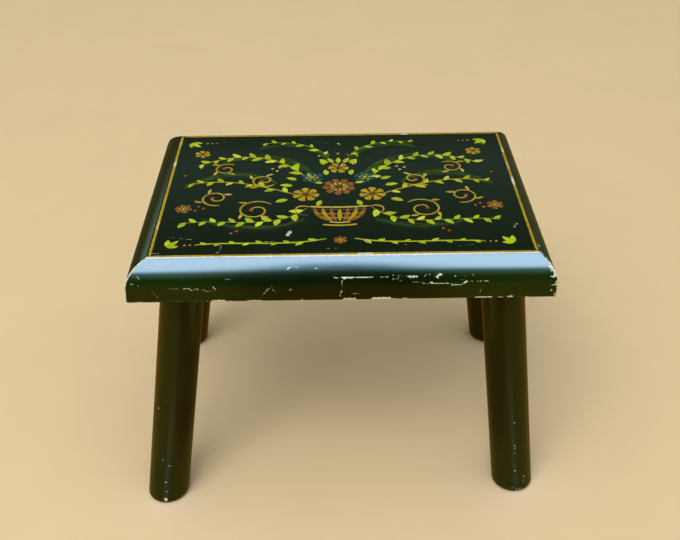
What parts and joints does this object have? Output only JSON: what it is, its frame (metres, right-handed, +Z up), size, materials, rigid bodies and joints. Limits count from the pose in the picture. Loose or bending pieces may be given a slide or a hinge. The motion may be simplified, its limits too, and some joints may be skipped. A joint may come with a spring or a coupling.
{
  "type": "footstool",
  "caption": "Low rectangular wooden footstool: a board with a moulded edge on round legs splayed both ways, finished in dark green enamel with a gold line border.",
  "frame": {"origin": "middle of the footprint on the floor, under the middle of the board", "axes": "+X along the board, -Y towards its front, +Z up"},
  "size_m": [0.3298, 0.2386, 0.224],
  "materials": {
    "board_enamel": "gloss black-green enamel brushed on solid wood, worn at its arrises",
    "leg_enamel": "gloss dark olive-green enamel brushed on solid wood",
    "line_paint": "satin gold line paint, drawn by hand",
    "picture_paint": "satin decorating paints over the enamel"
  },
  "bodies": {
    "root": {"seat_board": "board_enamel", "leg_front_left": "leg_enamel", "leg_front_right": "leg_enamel", "leg_back_left": "leg_enamel", "leg_back_right": "leg_enamel"}
  },
  "joints": []
}
